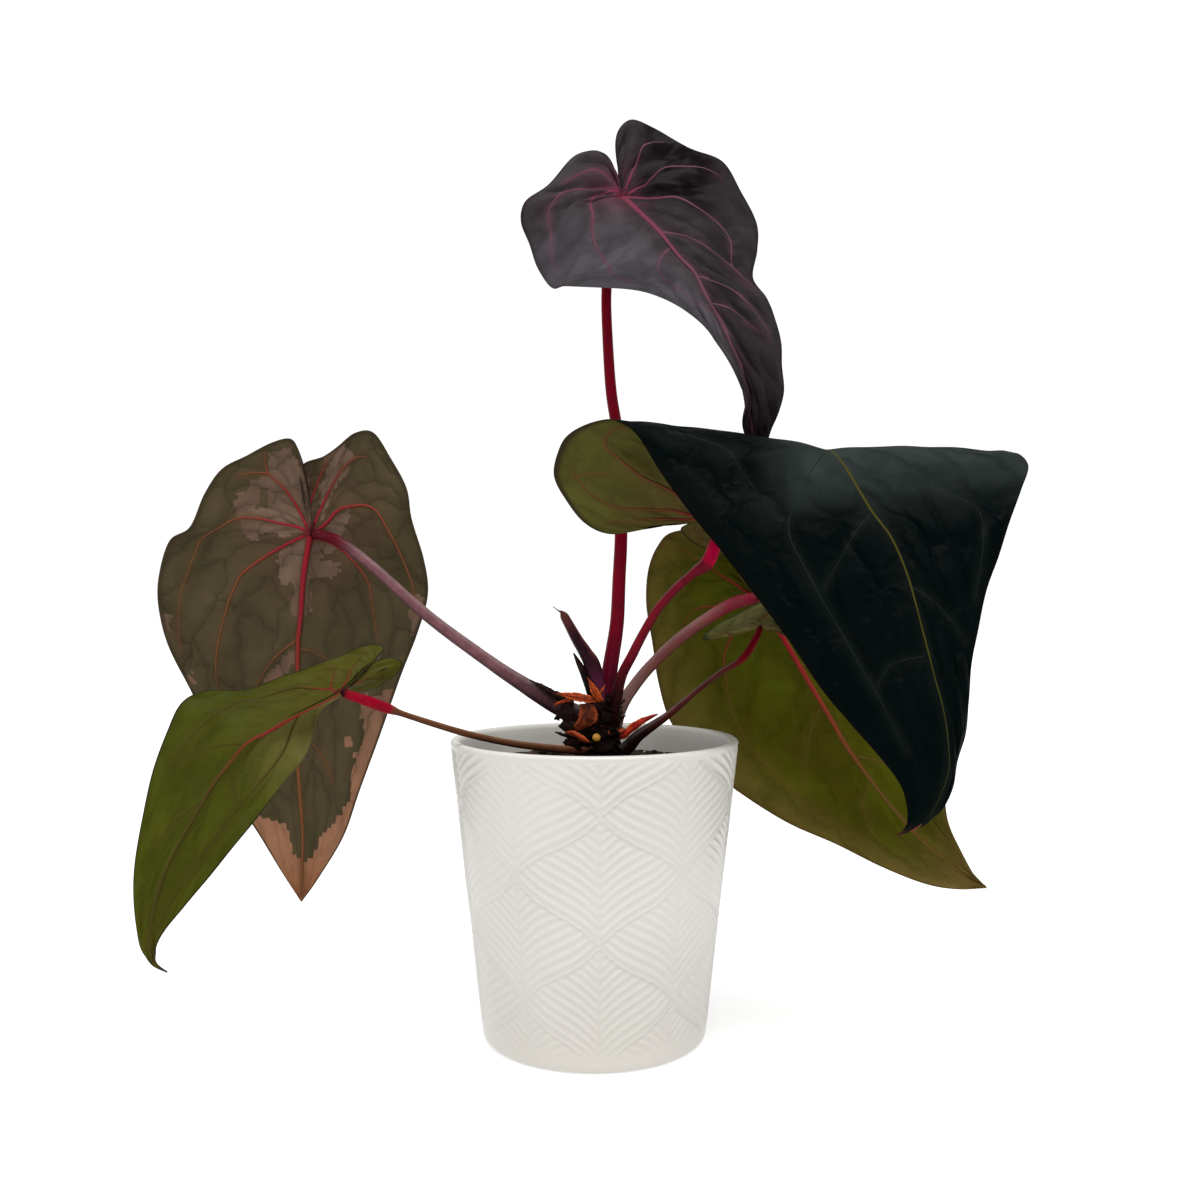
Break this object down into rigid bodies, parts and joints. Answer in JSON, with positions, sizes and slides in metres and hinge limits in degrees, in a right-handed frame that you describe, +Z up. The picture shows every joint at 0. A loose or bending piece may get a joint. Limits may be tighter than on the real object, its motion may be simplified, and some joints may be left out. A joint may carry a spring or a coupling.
{
  "type": "potted anthurium hybrid",
  "caption": "Dark-leaved anthurium hybrid with heart-shaped leaves on long petioles, rooted in a tapered white ceramic pot with pressed chevron ribs; stands on its flat base.",
  "frame": {"origin": "centre of the pot's flat underside, on the surface it stands on", "axes": "+Z up; the plant's front, the side with the folded dark leaf, faces -Y; +X to the right seen from the front"},
  "size_m": [0.4363, 0.1917, 0.4519],
  "materials": {
    "pot_glaze": "white glazed ceramic, satin gloss",
    "soil": "damp crumbly potting mix",
    "stem_bark": "matt corky bark",
    "leaf_purple": "satin leaf skin",
    "leaf_variegated": "satin leaf skin",
    "leaf_green": "satin leaf skin",
    "leaf_black": "satin leaf skin",
    "petiole_red": "smooth skin with a soft sheen",
    "petiole_plum": "smooth skin with a soft sheen",
    "petiole_brown": "smooth skin with a soft sheen",
    "sheath_orange": "dry papery",
    "sheath_dark": "dry papery",
    "root_bud": "smooth waxy"
  },
  "bodies": {
    "root": {"pot": "pot_glaze", "soil": "soil", "stem": "stem_bark", "top_leaf_blade": "leaf_purple", "top_leaf_petiole": "petiole_red", "variegated_leaf_blade": "leaf_variegated", "variegated_leaf_petiole": "petiole_plum", "small_front_leaf_blade": "leaf_green", "small_front_leaf_petiole": "petiole_brown", "folded_leaf_blade": "leaf_black", "folded_leaf_petiole": "petiole_red", "drooping_leaf_blade": "leaf_green", "drooping_leaf_petiole": "petiole_plum", "hidden_leaf_blade": "leaf_green", "hidden_leaf_petiole": "petiole_brown", "tall_spear_sheath": "sheath_dark", "short_spear_sheath": "sheath_dark", "orange_sheath_top": "sheath_orange", "orange_sheath_peak": "sheath_orange", "orange_sheath_front": "sheath_orange", "orange_sheath_low": "sheath_orange", "orange_sheath_right": "sheath_orange", "dark_sheath_left": "sheath_dark", "root_bud": "root_bud"}
  },
  "joints": []
}
